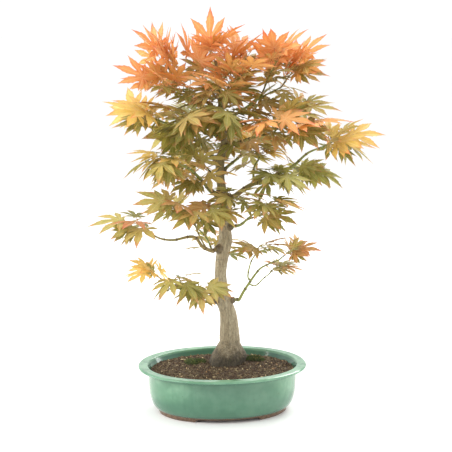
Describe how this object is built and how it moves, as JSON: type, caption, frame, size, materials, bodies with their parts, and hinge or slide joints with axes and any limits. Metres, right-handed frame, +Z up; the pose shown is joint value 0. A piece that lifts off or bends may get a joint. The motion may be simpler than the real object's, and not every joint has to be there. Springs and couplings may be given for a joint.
{
  "type": "bonsai tree in a pot",
  "caption": "Bonsai maple with a swollen trunk base, bare lower stem, tiered branches and palmate orange-to-green leaves, planted in an oval glazed pot on a foot ring with drain holes.",
  "frame": {"origin": "centre of the bounding box in X and Y, at the bottom of the pot's feet", "axes": "+Z up the tree, X along the pot's long side with the tree's longest branch towards +X, +Y away from the front of the tree"},
  "size_m": [0.447, 0.289, 0.5928],
  "materials": {
    "glaze": "glossy jade-green glaze over the outside, lip and inner wall; bare brown clay on the foot ring",
    "screen_plastic": "black moulded plastic mesh",
    "soil": "moist dark brown granular soil with pale chips",
    "moss": "matte green moss",
    "trunk_bark": "grey-tan bark with fine vertical streaks, darker at the knob",
    "young_bark": "smooth olive-green young bark with dark nodes",
    "leaf_orange": "thin translucent leaves, orange with redder edges",
    "leaf_salmon": "thin translucent leaves, salmon red over green",
    "leaf_yellow": "thin translucent leaves, pale yellow",
    "leaf_olive": "thin translucent leaves, olive",
    "leaf_green": "thin translucent leaves, green"
  },
  "bodies": {
    "root": {"branch_back_right": "young_bark", "branch_crown_left": "young_bark", "branch_crown_right": "young_bark", "branch_left_fork": "young_bark", "branch_left_high": "young_bark", "branch_left_low": "young_bark", "branch_left_mid": "young_bark", "branch_left_upper": "young_bark", "branch_right_high": "young_bark", "branch_right_low": "young_bark", "branch_right_main": "young_bark", "branch_right_mid": "young_bark", "drain_screen_left": "screen_plastic", "drain_screen_right": "screen_plastic", "moss_left": "moss", "moss_right": "moss", "pot": "glaze", "shoot_back_low": "leaf_olive", "shoot_back_mid": "leaf_yellow", "shoot_back_right": "leaf_green", "shoot_crown_back": "leaf_olive", "shoot_crown_front": "leaf_orange", "shoot_crown_front_low": "leaf_olive", "shoot_crown_front_right": "leaf_orange", "shoot_crown_left_end": "leaf_orange", "shoot_crown_left_low": "leaf_orange", "shoot_crown_right_end": "leaf_orange", "shoot_crown_right_up": "leaf_orange", "shoot_front_left": "leaf_salmon", "shoot_front_right": "leaf_salmon", "shoot_leader": "leaf_orange", "shoot_leader_left": "leaf_orange", "shoot_leader_right": "leaf_orange", "shoot_left_fork": "leaf_green", "shoot_left_fork_side": "leaf_green", "shoot_left_high_end": "leaf_yellow", "shoot_left_high_middle": "leaf_olive", "shoot_left_low_end": "leaf_yellow", "shoot_left_low_inner": "leaf_salmon", "shoot_left_low_middle": "leaf_olive", "shoot_left_mid_back": "leaf_green", "shoot_left_mid_end": "leaf_salmon", "shoot_left_mid_front": "leaf_salmon", "shoot_left_mid_top": "leaf_olive", "shoot_left_upper_end": "leaf_yellow", "shoot_left_upper_inner": "leaf_yellow", "shoot_right_high_back": "leaf_olive", "shoot_right_high_end": "leaf_orange", "shoot_right_high_middle": "leaf_orange", "shoot_right_low_back": "leaf_salmon", "shoot_right_low_end": "leaf_salmon", "shoot_right_low_front": "leaf_olive", "shoot_right_main_back": "leaf_yellow", "shoot_right_main_end": "leaf_yellow", "shoot_right_main_inner": "leaf_green", "shoot_right_main_middle": "leaf_green", "shoot_right_mid_end": "leaf_salmon", "shoot_right_mid_side": "leaf_olive", "soil": "soil", "trunk": "trunk_bark"}
  },
  "joints": []
}
